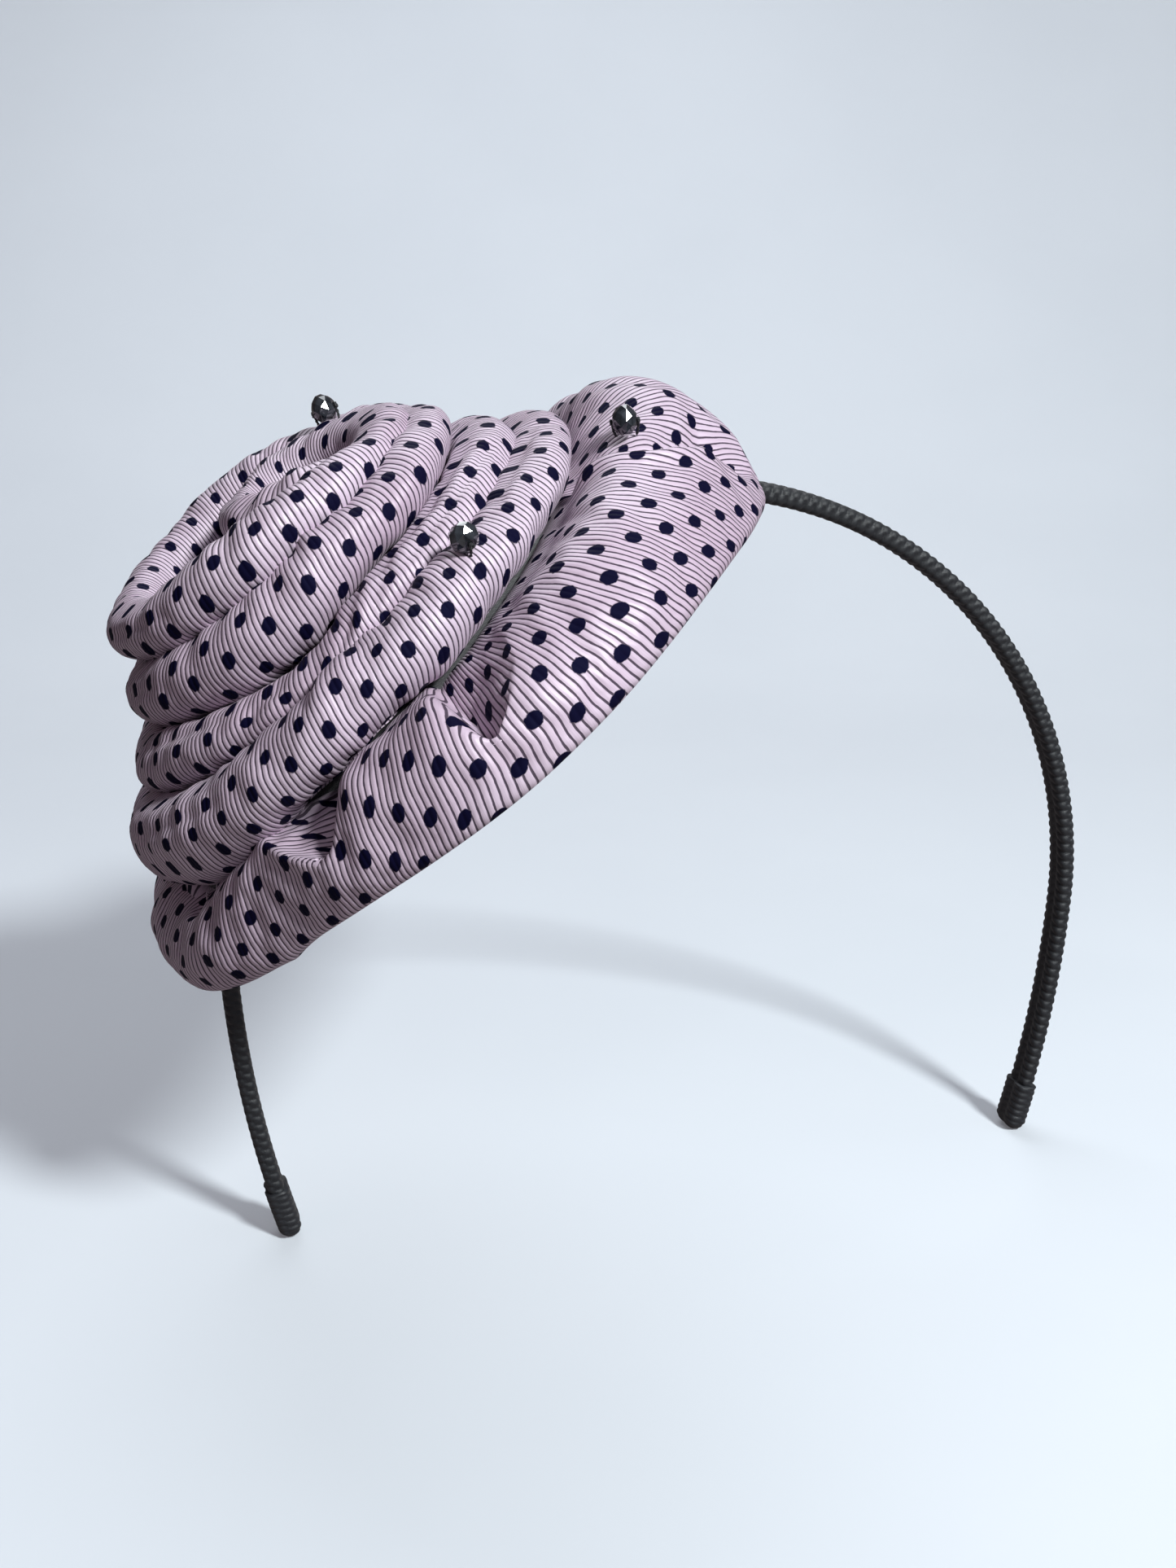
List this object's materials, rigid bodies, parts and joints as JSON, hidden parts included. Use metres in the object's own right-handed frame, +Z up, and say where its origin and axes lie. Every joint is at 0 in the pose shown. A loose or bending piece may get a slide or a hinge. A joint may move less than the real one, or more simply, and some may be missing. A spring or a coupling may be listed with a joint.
{
  "type": "fascinator headband",
  "caption": "Fascinator: a dotted, striped necktie wound into a puffy spiral rosette with a flared skirt, on a domed base and a slim braid-covered sprung headband.",
  "frame": {"origin": "centre of the headband's arc, on the head's middle line", "axes": "+Z up to the crown of the head, -Y the front of the head, +X the wearer's left; the rosette leans 38.5 degrees from +Z towards -X (the wearer's right)"},
  "size_m": [0.1665, 0.117, 0.1439],
  "materials": {
    "silk": "satin ribbed silk, pale pink with fine dark lines and navy dots",
    "silk_inner": "satin ribbed silk, pale pink with fine dark lines and navy dots",
    "wool": "brushed wool interlining",
    "tipping": "plain navy lining",
    "braid": "black plaited braid with a slight sheen",
    "cap": "black braid folded over and sewn",
    "spring_strip": "tempered strip",
    "buckram": "stiff black buckram",
    "felt": "black felt",
    "wire": "cotton-covered millinery wire",
    "ferrule": "plain",
    "binding": "black satin bias strip",
    "black_thread": "waxed sewing thread",
    "pink_thread": "sewing thread",
    "smoky_glass": "faceted, smoky with a silvery cast"
  },
  "bodies": {
    "crown": {"band_core_crown": "spring_strip", "band_braid_crown": "braid", "base_plate": "buckram", "base_lining": "felt", "edge_wire": "wire", "wire_joiner": "ferrule", "base_binding": "binding", "band_stitches": "black_thread", "skirt_tacks": "pink_thread", "tie_blade": "silk", "tie_blade_interlining": "wool", "tie_tipping": "tipping", "tie_neck": "silk", "tie_tail": "silk_inner", "tie_interlining": "wool", "glass_beads": "smoky_glass", "bead_threads": "black_thread"},
    "arm_left": {"band_core_left": "spring_strip", "band_braid_left": "braid", "end_cap_left": "cap"},
    "arm_right": {"band_core_right": "spring_strip", "band_braid_right": "braid", "end_cap_right": "cap"}
  },
  "joints": [
    {"name": "left_arm_flex", "type": "hinge", "parent": "crown", "child": "arm_left", "pos_m": [0.04445, 0, 0.06348], "axis": [0, -1, 0], "range_deg": [-7, 9], "stiffness_Nm_per_rad": 0.5},
    {"name": "right_arm_flex", "type": "hinge", "parent": "crown", "child": "arm_right", "pos_m": [-0.07731, 0, 0.00541], "axis": [0, 1, 0], "range_deg": [-5, 8], "stiffness_Nm_per_rad": 0.5}
  ]
}
